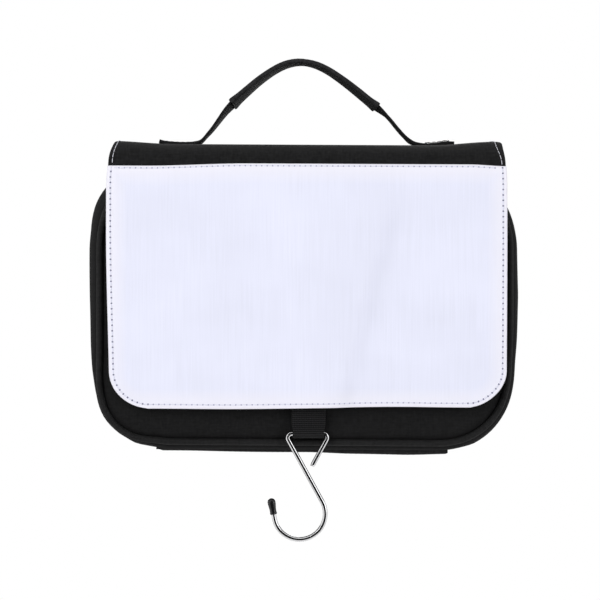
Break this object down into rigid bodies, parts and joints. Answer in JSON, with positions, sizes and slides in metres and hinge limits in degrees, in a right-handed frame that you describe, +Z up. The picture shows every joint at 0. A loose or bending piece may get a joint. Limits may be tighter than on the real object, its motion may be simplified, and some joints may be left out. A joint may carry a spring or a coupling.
{
  "type": "hanging toiletry bag",
  "caption": "Soft two-shell toiletry bag with a wrap-over white-faced flap, an arched carry handle and a wire hook on webbing for hanging it open.",
  "frame": {"origin": "under the middle of the carry grip, where a hand holds the bag", "axes": "+X across the bag, -Y towards the flap's white face, +Z up"},
  "size_m": [0.256, 0.0858, 0.2888],
  "materials": {
    "body_cloth": "black woven polyester",
    "piping_cloth": "black woven cloth over a cord",
    "foam": "grey foam",
    "lining_cloth": "dark thin nylon",
    "zip_tape": "black zip tape",
    "zip_teeth": "black nylon coil",
    "mesh": "black knitted mesh",
    "elastic": "black ribbed elastic",
    "closure": "black hook-and-loop pile",
    "board": "grey stiffener sheet",
    "webbing": "black ribbed webbing",
    "grip_cloth": "black woven sleeve",
    "face_cloth": "very pale lavender-white woven polyester",
    "hook_metal": "bright nickel-plated steel wire",
    "tip_rubber": "black soft vinyl cap",
    "slider_metal": "black painted zip slider"
  },
  "bodies": {
    "rear_shell": {"back_panel": "body_cloth", "back_foam": "foam", "back_piping": "piping_cloth", "rear_gusset": "body_cloth", "rear_lining": "lining_cloth", "zip_tape_rear": "zip_tape", "zip_teeth_rear": "zip_teeth", "base_strip_rear": "body_cloth", "mesh_pocket": "mesh", "pocket_elastic": "elastic", "flap_yoke": "body_cloth"},
    "front_shell": {"front_panel": "body_cloth", "front_foam": "foam", "front_piping": "piping_cloth", "front_gusset": "body_cloth", "front_lining": "lining_cloth", "zip_tape_front": "zip_tape", "zip_teeth_front": "zip_teeth", "base_strip_front": "body_cloth", "loop_pads": "closure"},
    "top_cover": {"spine_cover": "body_cloth", "spine_board": "board", "spine_lining": "lining_cloth", "handle_tab_left": "webbing", "handle_tab_right": "webbing"},
    "handle": {"handle_strap": "webbing", "handle_grip": "grip_cloth"},
    "flap": {"flap_cover": "body_cloth", "flap_board": "board", "flap_lining": "lining_cloth", "flap_face": "face_cloth", "hook_pads": "closure", "strap_anchor": "webbing"},
    "hanger": {"hanger_strap": "webbing"},
    "hook": {"hook_wire": "hook_metal", "hook_tip": "tip_rubber"},
    "slider_left": {"zip_slider_left": "slider_metal"},
    "slider_right": {"zip_slider_right": "slider_metal"},
    "pull_left": {"zip_pull_left": "slider_metal"},
    "pull_right": {"zip_pull_right": "slider_metal"}
  },
  "joints": [
    {"name": "cover_lift", "type": "hinge", "parent": "rear_shell", "child": "top_cover", "pos_m": [0, 0.0373, -0.053], "axis": [-1, 0, 0], "range_deg": [0, 90]},
    {"name": "flap_unfold", "type": "hinge", "parent": "top_cover", "child": "flap", "pos_m": [0, -0.042, -0.053], "axis": [-1, 0, 0], "range_deg": [0, 90]},
    {"name": "shell_open", "type": "hinge", "parent": "rear_shell", "child": "front_shell", "pos_m": [0, 0.01, -0.2352], "axis": [1, 0, 0], "range_deg": [0, 36]},
    {"name": "handle_swing", "type": "hinge", "parent": "top_cover", "child": "handle", "pos_m": [0, 0, -0.0482], "axis": [1, 0, 0], "range_deg": [-55, 55]},
    {"name": "hanger_swing", "type": "hinge", "parent": "flap", "child": "hanger", "pos_m": [0, -0.0418, -0.20735], "axis": [-1, 0, 0], "range_deg": [0, 85]},
    {"name": "hook_swing", "type": "hinge", "parent": "hanger", "child": "hook", "pos_m": [0, -0.0394, -0.2212], "axis": [-1, 0, 0], "range_deg": [0, 85]},
    {"name": "slider_left_run", "type": "slide", "parent": "rear_shell", "child": "slider_left", "axis": [0, 0, 1], "range_m": [0, 0.062]},
    {"name": "slider_right_run", "type": "slide", "parent": "rear_shell", "child": "slider_right", "axis": [0, 0, 1], "range_m": [0, 0.062]},
    {"name": "pull_left_tilt", "type": "hinge", "parent": "slider_left", "child": "pull_left", "pos_m": [-0.1268, 0.01, -0.1797], "axis": [0, 1, 0], "range_deg": [0, 100]},
    {"name": "pull_right_tilt", "type": "hinge", "parent": "slider_right", "child": "pull_right", "pos_m": [0.1268, 0.01, -0.1797], "axis": [0, -1, 0], "range_deg": [0, 100]}
  ],
  "couplings": [
    {"joint": "flap_unfold", "follows": "cover_lift", "ratio": 1},
    {"joint": "shell_open", "follows": "cover_lift", "ratio": 0.4}
  ]
}
